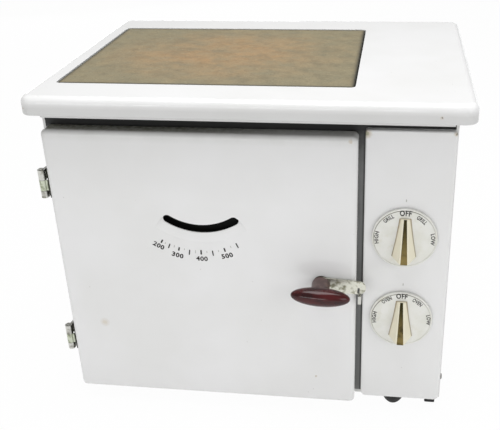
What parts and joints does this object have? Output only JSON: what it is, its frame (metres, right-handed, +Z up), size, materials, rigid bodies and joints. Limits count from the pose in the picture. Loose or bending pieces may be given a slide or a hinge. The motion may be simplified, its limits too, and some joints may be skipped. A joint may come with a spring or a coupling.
{
  "type": "table cooker",
  "caption": "Free-standing electric table cooker with one rectangular boiling plate, an oven with a side-hung door and a control panel with rotary switches.",
  "frame": {"origin": "on the surface that the feet stand on, under the middle of the whole object with its handle", "axes": "+X to the right as seen from the front, +Y to the back, +Z up"},
  "size_m": [0.475, 0.3974, 0.3995],
  "materials": {
    "enamel_white": "gloss vitreous enamel on steel",
    "enamel_grey": "grey vitreous enamel",
    "liner_enamel": "speckled dark vitreous enamel",
    "hotplate_iron": "seasoned cast iron with rust",
    "galvanised": "galvanised sheet",
    "nickel": "worn nickel plate",
    "zinc_steel": "zinc-plated",
    "bakelite": "polished maroon phenolic",
    "cream_plastic": "moulded cream urea plastic",
    "black_plastic": "moulded black phenolic",
    "brass": "tarnished brass",
    "black_rubber": "moulded black rubber",
    "ceramic": "unglazed steatite",
    "mineral_wool": "mineral wool slab",
    "glass_cord": "woven glass-fibre seal",
    "element_sheath": "oxidised tubular sheath",
    "wire_sleeve": "heat-proof sleeved wire",
    "shelf_chrome": "plated wire",
    "pointer_red": "red lacquer"
  },
  "bodies": {
    "casing": {"hob_top": "enamel_white", "boiling_plate": "hotplate_iron", "grill_element": "element_sheath", "element_bars": "ceramic", "grill_bushes": "ceramic", "left_side_panel": "enamel_white", "right_side_panel": "enamel_white", "back_panel": "galvanised", "base_panel": "galvanised", "front_frame": "enamel_grey", "partition": "galvanised", "oven_liner": "liner_enamel", "oven_insulation": "mineral_wool", "side_elements": "element_sheath", "element_bushes": "ceramic", "left_shelf_rack": "shelf_chrome", "right_shelf_rack": "shelf_chrome", "lower_shelf": "shelf_chrome", "upper_shelf": "shelf_chrome", "control_panel": "enamel_white", "upper_switch": "black_plastic", "lower_switch": "black_plastic", "switch_nuts": "zinc_steel", "switch_tabs": "brass", "terminal_block": "black_plastic", "terminal_screws": "brass", "wiring": "wire_sleeve", "cable_gland": "black_plastic", "earth_stud": "brass", "corner_feet": "black_rubber", "domed_feet": "black_rubber", "foot_nuts": "zinc_steel", "casing_screws": "nickel", "back_screws": "zinc_steel", "hinge_casing_leaves": "nickel", "hinge_pins": "nickel", "hinge_casing_screws": "nickel", "latch_keeper": "nickel"},
    "door": {"door_shell": "enamel_white", "door_inner_panel": "liner_enamel", "door_insulation": "mineral_wool", "door_seal": "glass_cord", "thermometer_housing": "galvanised", "thermometer_bush": "brass", "bimetal_coil": "brass", "hinge_door_leaves": "nickel", "hinge_door_screws": "nickel", "latch_bush": "brass"},
    "latch": {"handle_grip": "bakelite", "handle_stem": "bakelite", "latch_arm": "nickel", "latch_spindle": "zinc_steel"},
    "upper_control": {"upper_knob": "cream_plastic", "upper_knob_strip": "brass", "upper_switch_shaft": "zinc_steel"},
    "lower_control": {"lower_knob": "cream_plastic", "lower_knob_strip": "brass", "lower_switch_shaft": "zinc_steel"},
    "thermometer": {"thermometer_pointer": "pointer_red", "thermometer_spindle": "brass"}
  },
  "joints": [
    {"name": "door_hinge", "type": "hinge", "parent": "casing", "child": "door", "pos_m": [-0.2304, -0.1523, 0.29531], "axis": [0, 0, -1], "range_deg": [0, 170]},
    {"name": "latch_turn", "type": "hinge", "parent": "door", "child": "latch", "pos_m": [0.0805, -0.1633, 0.18707], "axis": [0, -1, 0], "range_deg": [-4, 40]},
    {"name": "upper_knob_turn", "type": "hinge", "parent": "casing", "child": "upper_control", "pos_m": [0.1705, -0.1455, 0.2415], "axis": [0, 1, 0], "range_deg": [-90, 90]},
    {"name": "lower_knob_turn", "type": "hinge", "parent": "casing", "child": "lower_control", "pos_m": [0.1705, -0.1455, 0.13701], "axis": [0, 1, 0], "range_deg": [-90, 90]},
    {"name": "thermometer_pointer_turn", "type": "hinge", "parent": "door", "child": "thermometer", "pos_m": [-0.05281, -0.1526, 0.31891], "axis": [0, -1, 0], "range_deg": [0, 78], "stiffness_Nm_per_rad": 0.005, "springref_deg": -17.19}
  ]
}
